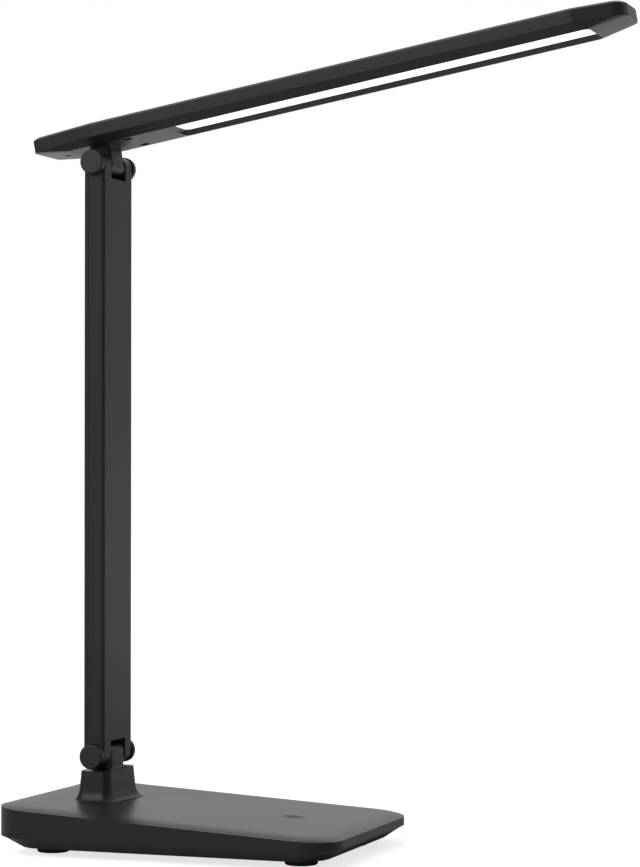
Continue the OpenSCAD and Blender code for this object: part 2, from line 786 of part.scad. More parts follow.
module head_screws() {
    color(zinc) at_head() at_head_screws() {
        translate([0, 0, head_under + screw_sink - seat_gap - screw_head_thk]) difference() {
            cylinder(h = screw_head_thk, d = screw_pocket - 0.4);
            for (a = [0, 90]) rotate([0, 0, a]) cube([2.6, 0.6, 1.2], center = true);
        }
        translate([0, 0, head_under + screw_sink - seat_gap - skin]) cylinder(h = 5.4, r = screw_thread_r);
    }
}

module head_wire() {
    z = cover_top + wire_dia / 2 + 2 * fit_gap;
    color(wire_red) at_head() wire([
        [0, 0, z],
        [slot_near - guide_over - 6, 0, z],
        [slot_near - guide_over - 6, cavity_half - 2.2, z],
        [slot_near - guide_over - seat_gap, cavity_half - 2.2, z]
    ]);
}

base_shell();
base_tray();
base_weight();
rubber_feet();
base_screws();
control_board();
touch_contact();
power_socket();
socket_board();
base_wire();
lower_hinge_pin();
upper_hinge_pin();
hinge_nuts();
lower_washers();
upper_washers();
lower_caps();
upper_caps();
arm_housing();
arm_cover();
arm_spine();
spine_screws();
arm_wire();
head_shell();
head_cover();
diffuser();
light_guide();
reflector_sheet();
led_board();
leds();
heat_plate();
head_screws();
head_wire();
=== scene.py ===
# %% [markdown]
# # A folding LED desk lamp
#
# The lamp is a low wedge base, a flat upright arm and a long flat head, all in matt black.
# Every solid comes from the CAD model, already in place. This lesson gives the outer shells the
# soft edges and smooth crowns that a moulding has, finishes each material and lights the lamp
# the way the photograph does.

# %% Load the frame
import bpy
import bmesh
import json
import math
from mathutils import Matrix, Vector


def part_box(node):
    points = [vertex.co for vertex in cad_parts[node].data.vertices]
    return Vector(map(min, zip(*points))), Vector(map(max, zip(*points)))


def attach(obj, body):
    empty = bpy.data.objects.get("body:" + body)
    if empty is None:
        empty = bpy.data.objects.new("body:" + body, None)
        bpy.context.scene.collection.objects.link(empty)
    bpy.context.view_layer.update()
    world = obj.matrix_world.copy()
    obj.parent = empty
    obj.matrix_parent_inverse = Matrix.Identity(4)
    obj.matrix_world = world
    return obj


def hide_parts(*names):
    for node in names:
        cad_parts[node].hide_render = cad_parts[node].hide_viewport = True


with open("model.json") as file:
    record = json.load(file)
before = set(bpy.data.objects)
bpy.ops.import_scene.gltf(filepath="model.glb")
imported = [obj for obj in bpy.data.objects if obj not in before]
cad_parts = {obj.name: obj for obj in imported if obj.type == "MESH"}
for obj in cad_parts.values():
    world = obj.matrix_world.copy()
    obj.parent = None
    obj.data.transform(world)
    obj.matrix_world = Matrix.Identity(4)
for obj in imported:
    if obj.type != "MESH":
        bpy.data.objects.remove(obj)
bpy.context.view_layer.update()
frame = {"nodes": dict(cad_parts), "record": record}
bpy.ops.object.select_all(action="DESELECT")
MM = 0.001

# %% [markdown]
# ## The camera
#
# The photograph is a long-lens view taken from just above the base, a fifth of a turn to the
# lamp's front right. The verticals stay parallel and the base's top is seen almost edge on.
# Lens and place were fitted to the edges of the base, arm and head, so they are kept as numbers.
# The lower hinge axis is the point that everything was measured from.

# %% Camera
HINGE_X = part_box("lower_hinge_pin")[0].x / 2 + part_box("lower_hinge_pin")[1].x / 2
LOWER_Z = 0.0457
UPPER_Z = 0.3457
cam_data = bpy.data.cameras.new("camera")
cam_data.sensor_width = 36
cam_data.lens = 2683.45 / 867 * 36
camera = bpy.data.objects.new("camera", cam_data)
bpy.context.scene.collection.objects.link(camera)
camera.location = (HINGE_X + 0.56815, -1.25246, LOWER_Z + 0.14091)
camera.rotation_euler = (math.radians(90 + 0.925), 0, math.radians(19.885))
bpy.context.scene.camera = camera
print("hinge x in mm", round(HINGE_X / MM, 2), "lens", round(cam_data.lens, 2))

# %% [markdown]
# ## Floor, backdrop and light
#
# The lamp was photographed on a seamless pale sweep. A matt floor catches the soft shadow, and a
# white world stands in for the paper behind it. The world is white for the camera and for
# reflections, and dimmer as a lamp, so that black plastic stays black. Two dark gaps and a grey one
# stand in for the room beside the paper: a rounded black corner mirrors them as the dark band that
# shows its shape. A few small helpers keep the node trees short to read.

# %% Helpers for node trees
def new_node(tree, kind, **settings):
    node = tree.nodes.new(kind)
    for name, value in settings.items():
        setattr(node, name, value)
    return node

def feed(tree, socket, value):
    if isinstance(value, (int, float, tuple)):
        socket.default_value = value
    else:
        tree.links.new(value, socket)

def sums(tree, kind, *values):
    node = new_node(tree, "ShaderNodeMath", operation=kind)
    for socket, value in zip(node.inputs, values):
        feed(tree, socket, value)
    return node.outputs[0]

def ramp(tree, value, low, high, to_low=0.0, to_high=1.0):
    node = new_node(tree, "ShaderNodeMapRange", interpolation_type="SMOOTHSTEP")
    settings = {"Value": value, "From Min": low, "From Max": high, "To Min": to_low, "To Max": to_high}
    for name, setting in settings.items():
        feed(tree, node.inputs[name], setting)
    return node.outputs["Result"]

def towards(tree, vector, direction):
    node = new_node(tree, "ShaderNodeVectorMath", operation="DOT_PRODUCT")
    feed(tree, node.inputs[0], vector)
    feed(tree, node.inputs[1], direction)
    return node.outputs["Value"]

# %% World
LAMP_LEVEL, DARK_GAP, GREY_GAP = 0.5, 0.9, 0.5
world = bpy.data.worlds.new("studio")
bpy.context.scene.world = world
world.use_nodes = True
sky = world.node_tree
sky.nodes.clear()
path = new_node(sky, "ShaderNodeLightPath")
way = new_node(sky, "ShaderNodeTexCoord").outputs["Generated"]
DARK_RIGHT, DARK_LEFT, GREY_BACK = (0.90, -0.43, 0.0), (-0.98, 0.17, 0.0), (0.64, 0.77, 0.0)
gap_right = ramp(sky, towards(sky, way, DARK_RIGHT), 0.45, 0.9)
gap_left = ramp(sky, towards(sky, way, DARK_LEFT), 0.55, 0.95)
gap_back = sums(sky, "MULTIPLY", ramp(sky, towards(sky, way, GREY_BACK), 0.6, 0.95), GREY_GAP)
gap_sides = sums(sky, "MULTIPLY", sums(sky, "MAXIMUM", gap_right, gap_left), DARK_GAP)
dim = sums(sky, "MAXIMUM", gap_sides, gap_back)
shown = sums(sky, "MAXIMUM", path.outputs["Is Glossy Ray"], path.outputs["Is Transmission Ray"])
level = sums(sky, "MULTIPLY", ramp(sky, shown, 0.0, 1.0, LAMP_LEVEL, 1.0), sums(sky, "SUBTRACT", 1.0, dim))
back = new_node(sky, "ShaderNodeBackground")
feed(sky, back.inputs["Color"], (1, 1, 1, 1))
feed(sky, back.inputs["Strength"], sums(sky, "MAXIMUM", level, path.outputs["Is Camera Ray"]))
sky.links.new(back.outputs[0], new_node(sky, "ShaderNodeOutputWorld").inputs["Surface"])
print("world nodes", len(sky.nodes))

# %% [markdown]
# The floor is the same paper. It fades to white for the camera with distance, as a lit sweep does,
# and keeps the lamp's contact shadow near the feet. The far part also shines back into glossy
# surfaces, which is what makes the underside of the head look grey and not black, and the part in
# front of the lamp does the same for the low sides of the base.

# %% Floor
FLOOR_TONE, CAMERA_LIFT, FAR_GLINT, FRONT_GLINT = 0.76, 0.74, 0.82, 0.5
bpy.ops.mesh.primitive_plane_add(size=12, location=(0, 0, 0))
floor = bpy.context.object
floor.name = "floor"
paper = bpy.data.materials.new("floor_paper")
paper.use_nodes = True
sheet = paper.node_tree
floor_shader = sheet.nodes["Principled BSDF"]
feed(sheet, floor_shader.inputs["Roughness"], 0.9)
feed(sheet, floor_shader.inputs["Specular IOR Level"], 0.1)
eye = new_node(sheet, "ShaderNodeLightPath")
feed(sheet, floor_shader.inputs["Base Color"], (FLOOR_TONE, FLOOR_TONE, FLOOR_TONE, 1))
spot = new_node(sheet, "ShaderNodeTexCoord").outputs["Object"]
reach = new_node(sheet, "ShaderNodeVectorMath", operation="LENGTH")
feed(sheet, reach.inputs[0], spot)
far = ramp(sheet, reach.outputs["Value"], 0.6, 2.0)
near_front = ramp(sheet, towards(sheet, spot, (0.0, -1.0, 0.0)), 0.05, 0.4)
far_bright = sums(sheet, "MULTIPLY", far, FAR_GLINT)
front_bright = sums(sheet, "MULTIPLY", near_front, FRONT_GLINT)
bright = sums(sheet, "MAXIMUM", far_bright, front_bright)
glint = sums(sheet, "MULTIPLY", bright, eye.outputs["Is Glossy Ray"])
plain = sums(sheet, "MULTIPLY", eye.outputs["Is Camera Ray"], CAMERA_LIFT)
feed(sheet, floor_shader.inputs["Emission Strength"], sums(sheet, "MAXIMUM", glint, plain))
feed(sheet, floor_shader.inputs["Emission Color"], (1, 1, 1, 1))
floor.data.materials.append(paper)
bpy.ops.object.select_all(action="DESELECT")
print("floor size in m", [round(v, 2) for v in floor.dimensions])

# %% [markdown]
# Two large square lamps do the lighting. The key stands high and far away in front on the left, so
# that upright faces get nearly the same light from foot to top, and a weak fill lifts the faces on
# the right. Large lamps give the soft shadow of a light tent.

# %% Lamps
def soft_light(name, place, target, size, watts):
    data = bpy.data.lights.new(name, "AREA")
    data.shape = "SQUARE"
    data.size = size
    data.energy = watts
    lamp = bpy.data.objects.new(name, data)
    bpy.context.scene.collection.objects.link(lamp)
    lamp.location = place
    lamp.rotation_euler = (Vector(target) - Vector(place)).to_track_quat("-Z", "Y").to_euler()
    return lamp

soft_light("key_light", (-1.2, -2.9, 2.3), (0, 0, 0.2), 2.1, 64)
soft_light("fill_light", (1.9, 0.9, 1.2), (0, 0, 0.2), 1.6, 3)

# %% [markdown]
# ## Finishes
#
# The shells are matt black plastic with the very fine grain that a spark-eroded mould leaves.
# The grain scatters the highlight, and it is too fine to see as colour, so it lives in the
# roughness and in a small bump.

# %% The shared grain
def make_grain_group():
    g = bpy.data.node_groups.new("moulded_grain", "ShaderNodeTree")
    for name, value in (("Scale", 2500), ("Depth", 0.1), ("Gloss", 0.4), ("Spread", 0.06), ("Rub", 0.3)):
        g.interface.new_socket(name=name, in_out="INPUT", socket_type="NodeSocketFloat").default_value = value
    for name, kind in (("Roughness", "NodeSocketFloat"), ("Normal", "NodeSocketVector"),
                       ("Tone", "NodeSocketFloat"), ("Wear", "NodeSocketFloat")):
        g.interface.new_socket(name=name, in_out="OUTPUT", socket_type=kind)
    n, l = g.nodes, g.links
    gi, go = n.new("NodeGroupInput"), n.new("NodeGroupOutput")
    coord = n.new("ShaderNodeTexCoord")

    def noise(scale, detail):
        made = n.new("ShaderNodeTexNoise")
        made.inputs["Scale"].default_value = scale
        made.inputs["Detail"].default_value = detail
        l.new(coord.outputs["Object"], made.inputs["Vector"])
        return made

    def maths(kind, a, b, c=None):
        made = n.new("ShaderNodeMath")
        made.operation = kind
        for i, value in enumerate((a, b, c)):
            if value is None:
                continue
            if isinstance(value, (int, float)):
                made.inputs[i].default_value = value
            else:
                l.new(value, made.inputs[i])
        return made.outputs[0]

    fine = noise(2500, 3)
    l.new(gi.outputs["Scale"], fine.inputs["Scale"])
    bump = n.new("ShaderNodeBump")
    bump.inputs["Distance"].default_value = 0.0001
    l.new(gi.outputs["Depth"], bump.inputs["Strength"])
    l.new(fine.outputs["Fac"], bump.inputs["Height"])
    l.new(bump.outputs["Normal"], go.inputs["Normal"])

    cloud, smear = noise(35, 5), noise(9, 3)
    l.new(maths("MULTIPLY_ADD", cloud.outputs["Fac"], 0.24, 0.88), go.inputs["Tone"])

    round_normal = n.new("ShaderNodeBevel")
    round_normal.samples = 4
    round_normal.inputs["Radius"].default_value = 0.0007
    flat_normal = n.new("ShaderNodeNewGeometry")
    turn = n.new("ShaderNodeVectorMath")
    turn.operation = "DOT_PRODUCT"
    l.new(round_normal.outputs["Normal"], turn.inputs[0])
    l.new(flat_normal.outputs["Normal"], turn.inputs[1])
    edge = maths("MULTIPLY", maths("SUBTRACT", 1.0, turn.outputs["Value"]), 6.0)
    patchy = maths("MULTIPLY", edge, maths("SUBTRACT", cloud.outputs["Fac"], 0.3))
    rub = n.new("ShaderNodeClamp")
    l.new(maths("MULTIPLY", patchy, gi.outputs["Rub"]), rub.inputs["Value"])
    l.new(rub.outputs[0], go.inputs["Wear"])

    rough = maths("MULTIPLY_ADD", maths("SUBTRACT", smear.outputs["Fac"], 0.5), gi.outputs["Spread"],
                  gi.outputs["Gloss"])
    l.new(maths("SUBTRACT", rough, maths("MULTIPLY", rub.outputs[0], 0.12)), go.inputs["Roughness"])
    return g

grain = make_grain_group()
print("grain outputs", [socket.name for socket in grain.interface.items_tree if socket.in_out == "OUTPUT"])

def grained(name, colour, gloss, spread=0.05, depth=0.1, scale=2500, metallic=0.0, specular=0.5, rub=0.3):
    m = bpy.data.materials.new(name)
    m.use_nodes = True
    n, l = m.node_tree.nodes, m.node_tree.links
    shader = n["Principled BSDF"]
    g = n.new("ShaderNodeGroup")
    g.node_tree = grain
    for key, value in (("Scale", scale), ("Depth", depth), ("Gloss", gloss), ("Spread", spread), ("Rub", rub)):
        g.inputs[key].default_value = value
    l.new(g.outputs["Roughness"], shader.inputs["Roughness"])
    l.new(g.outputs["Normal"], shader.inputs["Normal"])
    tint = n.new("ShaderNodeMix")
    tint.data_type = "RGBA"
    tint.blend_type = "MULTIPLY"
    tint.inputs["Factor"].default_value = 1.0
    tint.inputs["A"].default_value = (*colour, 1)
    l.new(g.outputs["Tone"], tint.inputs["B"])
    worn = n.new("ShaderNodeMix")
    worn.data_type = "RGBA"
    l.new(g.outputs["Wear"], worn.inputs["Factor"])
    l.new(tint.outputs["Result"], worn.inputs["A"])
    worn.inputs["B"].default_value = (*[min(1.0, c * 1.5 + 0.02) for c in colour], 1)
    l.new(worn.outputs["Result"], shader.inputs["Base Color"])
    shader.inputs["Metallic"].default_value = metallic
    shader.inputs["Specular IOR Level"].default_value = specular
    return m

# %% [markdown]
# Every slot of the record gets its own finish from the one recipe: a colour, a gloss and a grain
# size. The head's screws are black-plated in the photograph, so they get a dark metal.

# %% Materials
finishes = {
    "black_coat": grained("satin_black", (0.0150, 0.0150, 0.0156), 0.36, specular=0.2),
    "dark_plastic": grained("matt_black", (0.0150, 0.0150, 0.0155), 0.46, specular=0.28),
    "raw_steel": grained("brushed_steel", (0.5, 0.5, 0.52), 0.35, metallic=1.0),
    "zinc_screw": grained("zinc_plate", (0.6, 0.6, 0.6), 0.25, metallic=1.0),
    "copper": grained("copper_alloy", (0.75, 0.45, 0.28), 0.3, metallic=1.0),
    "alloy": grained("plain_alloy", (0.65, 0.66, 0.67), 0.35, metallic=1.0),
    "rubber": grained("foot_rubber", (0.03, 0.03, 0.03), 0.7, depth=0.3, scale=1800, specular=0.4),
    "circuit_board": grained("board_lacquer", (0.02, 0.12, 0.06), 0.3, scale=900),
    "wire_jacket": grained("wire_jacket", (0.4, 0.03, 0.02), 0.45),
    "opal_plastic": grained("opal_plastic", (0.9, 0.88, 0.82), 0.5, rub=0),
    "clear_plastic": grained("clear_plastic", (0.85, 0.9, 0.93), 0.1, rub=0),
    "white_plastic": grained("white_plastic", (0.85, 0.85, 0.83), 0.35),
}
glow = finishes["opal_plastic"].node_tree.nodes["Principled BSDF"]
glow.inputs["Emission Color"].default_value = (1.0, 0.985, 0.95, 1)
glow.inputs["Emission Strength"].default_value = 1.1

blackened = grained("black_zinc", (0.03, 0.03, 0.032), 0.35, metallic=1.0)
slot_of = {part["node"]: part["material_slot"] for part in frame["record"]["subparts"]}
for name, obj in frame["nodes"].items():
    obj.data.materials.clear()
    obj.data.materials.append(blackened if name == "head_screws" else finishes[slot_of[name]])
print("materials", len(finishes) + 1)

# %% [markdown]
# ## How the shells are shaped
#
# On the real lamp every outside part is an injection moulding: a thin wall with drafted corners and
# small soft edges. A cut copy of the CAD solid would show flat facets on those corners, so each shell
# is modelled here from a primitive that is placed at its CAD size and then bevelled, cut and hollowed.
# All measures are millimetres in the part's own frame, with the hinge axis at the origin.

# %% Helpers for edit mode
def only(piece):
    bpy.ops.object.select_all(action="DESELECT")
    piece.select_set(True)
    bpy.context.view_layer.objects.active = piece

def block(name, low, high):
    middle = [(a + b) / 2 * MM for a, b in zip(low, high)]
    bpy.ops.object.select_all(action="DESELECT")
    bpy.ops.mesh.primitive_cube_add(size=1, location=middle)
    piece = bpy.context.object
    piece.name = name
    piece.scale = [(b - a) * MM for a, b in zip(low, high)]
    bpy.ops.object.transform_apply(location=True, rotation=True, scale=True)
    return piece

def rod(name, radius, start, length, along="Y", sides=64):
    turn = {"X": (0, math.pi / 2, 0), "Y": (math.pi / 2, 0, 0), "Z": (0, 0, 0)}[along]
    step = {"X": Vector((1, 0, 0)), "Y": Vector((0, 1, 0)), "Z": Vector((0, 0, 1))}[along]
    bpy.ops.object.select_all(action="DESELECT")
    bpy.ops.mesh.primitive_cylinder_add(vertices=sides, radius=radius * MM, depth=length * MM,
                                        location=(Vector(start) + step * length / 2) * MM, rotation=turn)
    piece = bpy.context.object
    piece.name = name
    bpy.ops.object.transform_apply(location=True, rotation=True, scale=True)
    return piece

def pick_edges(piece, test):
    only(piece)
    bpy.ops.object.mode_set(mode="EDIT")
    bpy.ops.mesh.select_mode(type="EDGE")
    bpy.ops.mesh.select_all(action="DESELECT")
    mesh = bmesh.from_edit_mesh(piece.data)
    found = 0
    for edge in mesh.edges:
        a, b = edge.verts[0].co / MM, edge.verts[1].co / MM
        if test((a + b) / 2, (b - a).normalized()):
            edge.select_set(True)
            found += 1
    bmesh.update_edit_mesh(piece.data)
    return found

def pick_faces(piece, test):
    only(piece)
    bpy.ops.object.mode_set(mode="EDIT")
    bpy.ops.mesh.select_mode(type="FACE")
    bpy.ops.mesh.select_all(action="DESELECT")
    mesh = bmesh.from_edit_mesh(piece.data)
    found = 0
    for face in mesh.faces:
        if test(face.calc_center_median() / MM, face.normal):
            face.select_set(True)
            found += 1
    bmesh.update_edit_mesh(piece.data)
    return found

def round_edges(piece, radius, steps, test):
    found = pick_edges(piece, test)
    if found:
        bpy.ops.mesh.bevel(offset=radius * MM, segments=steps, profile=0.5, affect="EDGES")
    bpy.ops.object.mode_set(mode="OBJECT")
    return found

def apply_all(piece):
    only(piece)
    for modifier in list(piece.modifiers):
        bpy.ops.object.modifier_apply(modifier=modifier.name)

def combine(piece, other, how):
    cut = piece.modifiers.new("combine", "BOOLEAN")
    cut.operation = how
    cut.solver = "EXACT"
    cut.object = other
    apply_all(piece)
    bpy.data.objects.remove(other)

def carve(piece, *cutters):
    for cutter in cutters:
        combine(piece, cutter, "DIFFERENCE")

# %% [markdown]
# ## Hulls, soft edges and finished pieces
#
# A tray or a slim lamp head is a skin stretched between two outlines. The outlines are circles and
# rounded plates, and the convex hull operator stretches the skin. Every piece ends the same way: a
# fine bevel on each hard edge, smooth shading by angle, and normals weighted by face area, so that
# the large flats stay flat and only the edges catch the light.

# %% Outlines and hulls
def joined(name, parts):
    bpy.ops.object.select_all(action="DESELECT")
    for part in parts:
        part.select_set(True)
    bpy.context.view_layer.objects.active = parts[0]
    bpy.ops.object.join()
    parts[0].name = name
    return parts[0]

def ring(radius, x, y, z, sides=56):
    bpy.ops.object.select_all(action="DESELECT")
    bpy.ops.mesh.primitive_circle_add(vertices=sides, radius=radius * MM, location=(x * MM, y * MM, z * MM))
    circle = bpy.context.object
    bpy.ops.object.transform_apply(location=True, rotation=True, scale=True)
    return circle

def plate_rings(x0, x1, half, radius, z):
    return [ring(radius, x, y, z) for x in (x0 + radius, x1 - radius) for y in (radius - half, half - radius)]

def hull(name, rings):
    piece = joined(name, rings)
    only(piece)
    bpy.ops.object.mode_set(mode="EDIT")
    bpy.ops.mesh.select_all(action="SELECT")
    bpy.ops.mesh.convex_hull(face_threshold=0.002, shape_threshold=0.7)
    bpy.ops.mesh.select_all(action="SELECT")
    bpy.ops.mesh.remove_doubles(threshold=0.00001)
    bpy.ops.mesh.dissolve_limited(angle_limit=math.radians(0.3))
    bpy.ops.mesh.select_all(action="SELECT")
    bpy.ops.mesh.normals_make_consistent(inside=False)
    bpy.ops.object.mode_set(mode="OBJECT")
    return piece

def soften(piece, width, angle=32, steps=2, smooth=32):
    if width:
        edge = piece.modifiers.new("soft_edge", "BEVEL")
        edge.width = width * MM
        edge.segments = steps
        edge.limit_method = "ANGLE"
        edge.angle_limit = math.radians(angle)
        edge.use_clamp_overlap = True
        apply_all(piece)
    only(piece)
    bpy.ops.object.shade_smooth_by_angle(angle=math.radians(smooth))
    weigh = piece.modifiers.new("weigh_normals", "WEIGHTED_NORMAL")
    weigh.keep_sharp = True
    apply_all(piece)

def settle(piece, height, tilt, body, slot, *nodes):
    only(piece)
    piece.rotation_euler = (0, -math.radians(tilt), 0)
    piece.location = (HINGE_X, 0, height)
    bpy.ops.object.transform_apply(location=True, rotation=True, scale=True)
    piece.data.materials.clear()
    piece.data.materials.append(finishes[slot])
    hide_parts(*nodes)
    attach(piece, body)
    print(piece.name, "faces", len(piece.data.polygons),
          "size in mm", [round(v / MM, 1) for v in piece.dimensions])

# %% [markdown]
# ## The tongues
#
# Base and head each end in a tongue that stands between the two ears of the arm's fork. Its end is
# round about the hinge axis, its corners are soft, and it has a bore for the pin and a shallow seat
# for each friction washer. One helper makes both.

# %% A tongue
AXIS_R, TONGUE_HALF, BORE_R = 5.7, 8.7, 2.55

def tongue(name, root):
    bar = block(name, (-AXIS_R, -TONGUE_HALF, -root), (AXIS_R, TONGUE_HALF, AXIS_R))
    round_edges(bar, 2.6, 6, lambda m, d: abs(d.z) > 0.9)
    end = block("round_end", (-AXIS_R, -20, -root - 2), (AXIS_R, 20, AXIS_R))
    round_edges(end, AXIS_R - 0.01, 12, lambda m, d: abs(d.y) > 0.9 and m.z > 0)
    combine(bar, end, "INTERSECT")
    carve(bar, rod("bore", BORE_R, (0, -20, 0), 40),
          rod("seat_a", 4.75, (0, TONGUE_HALF - 0.8, 0), 5), rod("seat_b", 4.75, (0, -TONGUE_HALF - 4.2, 0), 5))
    return bar

# %% [markdown]
# ## The base's top shell
#
# The shell is a low wedge with upright walls, large round corners and a top that rolls up gently
# from the wall's edge. A block gets its four corners bevelled, a tilted bisect makes the slope, and
# ten small insets of the top face, each lifted a little less than the last, make the roll.

# %% Base shell, outside
BACK, FRONT, SIDE, CORNER = -35.6, 143.4, 65.0, 20.5
WALL_BACK, WALL_FRONT, SEAM_Z = 24.1, 13.7, 9.5
SLOPE = math.atan((WALL_BACK - WALL_FRONT) / (FRONT - BACK))
CROWN, ROLL, WALL = 1.3, 15.0, 2.4

def slope_cut(piece, drop):
    only(piece)
    bpy.ops.object.mode_set(mode="EDIT")
    bpy.ops.mesh.select_all(action="SELECT")
    bpy.ops.mesh.bisect(plane_co=(BACK * MM, 0, (WALL_BACK - drop) * MM),
                        plane_no=(math.sin(SLOPE), 0, math.cos(SLOPE)), clear_outer=True, use_fill=True)
    bpy.ops.object.mode_set(mode="OBJECT")

upright = lambda m, d: abs(d.z) > 0.95
base_top = block("base_top_shell", (BACK, -SIDE, SEAM_Z), (FRONT, SIDE, 40))
round_edges(base_top, CORNER, 20, upright)
slope_cut(base_top, 0)
pick_faces(base_top, lambda m, n: n.z > 0.9)
ROLL_STEPS = 10
for i in range(ROLL_STEPS):
    rise = [CROWN * (1 - (1 - t / ROLL_STEPS) ** 3) for t in (i, i + 1)]
    bpy.ops.mesh.inset(thickness=ROLL / ROLL_STEPS * MM, depth=(rise[1] - rise[0]) * MM)
bpy.ops.object.mode_set(mode="OBJECT")
print("slope in degrees", round(math.degrees(SLOPE), 2), "faces", len(base_top.data.polygons))

# %% [markdown]
# Hollowing comes next, then the touch dimple and the power inlet. The dimple is the cap of a large
# sphere, pressed 0.8 mm into the roof. The inlet is a slot through the rear wall with a shallow
# recess round it for the plug's collar.

# %% Base shell, hollow and openings
hollow = block("hollow", (BACK + WALL, WALL - SIDE, SEAM_Z - 1), (FRONT - WALL, SIDE - WALL, 40))
round_edges(hollow, CORNER - WALL, 12, upright)
slope_cut(hollow, WALL - CROWN)

DIMPLE_X, DIMPLE_R, DIMPLE_DEEP = 102.8, 6.5, 0.8
dish_r = (DIMPLE_R ** 2 + DIMPLE_DEEP ** 2) / (2 * DIMPLE_DEEP)
top_at = lambda x: WALL_BACK + CROWN - (x - BACK) * math.tan(SLOPE)
bpy.ops.object.select_all(action="DESELECT")
bpy.ops.mesh.primitive_uv_sphere_add(segments=128, ring_count=128, radius=dish_r * MM,
                                     location=(DIMPLE_X * MM, 0, (top_at(DIMPLE_X) + dish_r - DIMPLE_DEEP) * MM))
dish = bpy.context.object
bpy.ops.object.transform_apply(location=True, rotation=True, scale=True)

INLET_Z = 15.35
def inlet_slot(half_w, half_h, x0, x1):
    bar = block("inlet", (x0, -half_w, INLET_Z - half_h), (x1, half_w, INLET_Z + half_h))
    round_edges(bar, half_h - 0.01, 10, lambda m, d: abs(d.x) > 0.9)
    return bar

carve(base_top, hollow, dish, inlet_slot(4.9, 2.05, BACK - 1, BACK + 4),
      inlet_slot(6.3, 3.45, BACK - 1, BACK + 0.8))
print("roof height over the dimple in mm", round(top_at(DIMPLE_X), 2))

# %% [markdown]
# The post grows out of the roof with a concave foot. A rounded plate is extruded upwards in small
# steps and resized at each one, which draws the fillet as a hand would on a lathe. A union welds it
# to the shell, and the tongue is welded on top. A fillet at the tongue's root makes the two read as
# one moulding.

# %% Post and tongue of the base
LOWER_MM = 45.7
POST_TOP, POST_FOOT = LOWER_MM - 7.4, top_at(0) - 0.35
POST_X, POST_Y, POST_CORNER = 8.0, 18.2, 3.5
TAPER, FOOT_GROW = 1.3, 2.8

def post_grow(t):
    u = max(0.0, (t - 0.6) / 0.4)
    return TAPER * t + FOOT_GROW * (1 - math.sqrt(max(0.0, 1 - u * u)))

post = block("post", (-POST_X - post_grow(1), -POST_Y - post_grow(1), POST_FOOT - 1),
             (POST_X + post_grow(1), POST_Y + post_grow(1), POST_FOOT))
round_edges(post, POST_CORNER + FOOT_GROW, 12, upright)
pick_faces(post, lambda m, n: n.z > 0.9)
POST_STEPS = 16
for i in range(POST_STEPS):
    t0, t1 = 1 - (i / POST_STEPS) ** 1.6, 1 - ((i + 1) / POST_STEPS) ** 1.6
    z1 = POST_TOP - (POST_TOP - POST_FOOT) * t1
    lift = (POST_TOP - POST_FOOT) * (t0 - t1) * MM
    bpy.ops.mesh.extrude_region_move(TRANSFORM_OT_translate={"value": (0, 0, lift)})
    bpy.ops.transform.resize(value=((POST_X + post_grow(t1)) / (POST_X + post_grow(t0)),
                                    (POST_Y + post_grow(t1)) / (POST_Y + post_grow(t0)), 1),
                             center_override=(0, 0, z1 * MM))
bpy.ops.object.mode_set(mode="OBJECT")
combine(base_top, post, "UNION")
neck_low = tongue("lower_tongue", 8.5)
neck_low.location = (0, 0, LOWER_MM * MM)
only(neck_low)
bpy.ops.object.transform_apply(location=True, rotation=True, scale=True)
combine(base_top, neck_low, "UNION")
print("edges at the tongue's root", round_edges(base_top, 1.8, 6, lambda m, d: abs(m.z - POST_TOP) < 0.03
      and abs(m.x) < AXIS_R + 0.1 and abs(m.y) < TONGUE_HALF + 0.1))
soften(base_top, 0.35, angle=38, smooth=30)
settle(base_top, 0, 0, "base", "black_coat", "base_shell")

# %% [markdown]
# ## Tray and feet
#
# The tray closes the wedge from below and slopes in, so that the lamp seems to float. It is the hull
# of a wide outline under the seam and a smaller one at the bottom, hollowed by a second hull and
# given a shallow seat for each foot.

# %% Tray
tray = hull("base_lower_tray", plate_rings(BACK + 0.6, FRONT - 0.6, SIDE - 0.6, CORNER - 0.6, SEAM_Z - 0.05)
            + plate_rings(BACK + 8.8, FRONT - 8.8, SIDE - 8.8, CORNER - 4.4, 3.7))
tray_room = hull("tray_room", plate_rings(BACK + 6, FRONT - 6, SIDE - 6, CORNER - 4.8, SEAM_Z + 0.3)
                 + plate_rings(BACK + 11, FRONT - 11, SIDE - 11, CORNER - 8.8, 5.9))
FEET = [(x, y) for x in (-12.8, 118.9) for y in (-36.9, 36.9)]
carve(tray, tray_room, *[rod("foot_seat", 8.2, (x, y, 3), 1.8, "Z") for x, y in FEET])
soften(tray, 0.25)
settle(tray, 0, 0, "base", "dark_plastic", "base_tray")

# %% [markdown]
# Each foot is a rubber disc with a soft lower edge and a shallow ring in its face, glued into its
# seat. One is modelled and copied three times, each copy with its own mesh.

# %% Feet
foot = rod("rubber_foot_1", 8.05, (0, 0, 0), 4.75, "Z", 72)
round_edges(foot, 0.9, 4, lambda m, d: m.z < 0.1)
pick_faces(foot, lambda m, n: n.z < -0.999)
bpy.ops.mesh.inset(thickness=1.6 * MM)
bpy.ops.mesh.inset(thickness=0.4 * MM, depth=-0.3 * MM)
bpy.ops.object.mode_set(mode="OBJECT")
soften(foot, 0)
feet = [foot]
for number in range(2, 5):
    again = foot.copy()
    again.data = foot.data.copy()
    again.name = "rubber_foot_%d" % number
    bpy.context.scene.collection.objects.link(again)
    feet.append(again)
for piece, (x, y) in zip(feet, FEET):
    only(piece)
    piece.location = (x * MM, y * MM, 0)
    bpy.ops.object.transform_apply(location=True, rotation=True, scale=True)
    settle(piece, 0, 0, "base", "rubber", "rubber_feet")

# %% [markdown]
# ## The arm
#
# The arm is one flat bar with round ends and soft long edges, split along its length: a deep front
# housing that carries both forks, and a thin rear cover that hides the steel strip and the wires.
# The bar is modelled once and copied, and each copy keeps its own share.

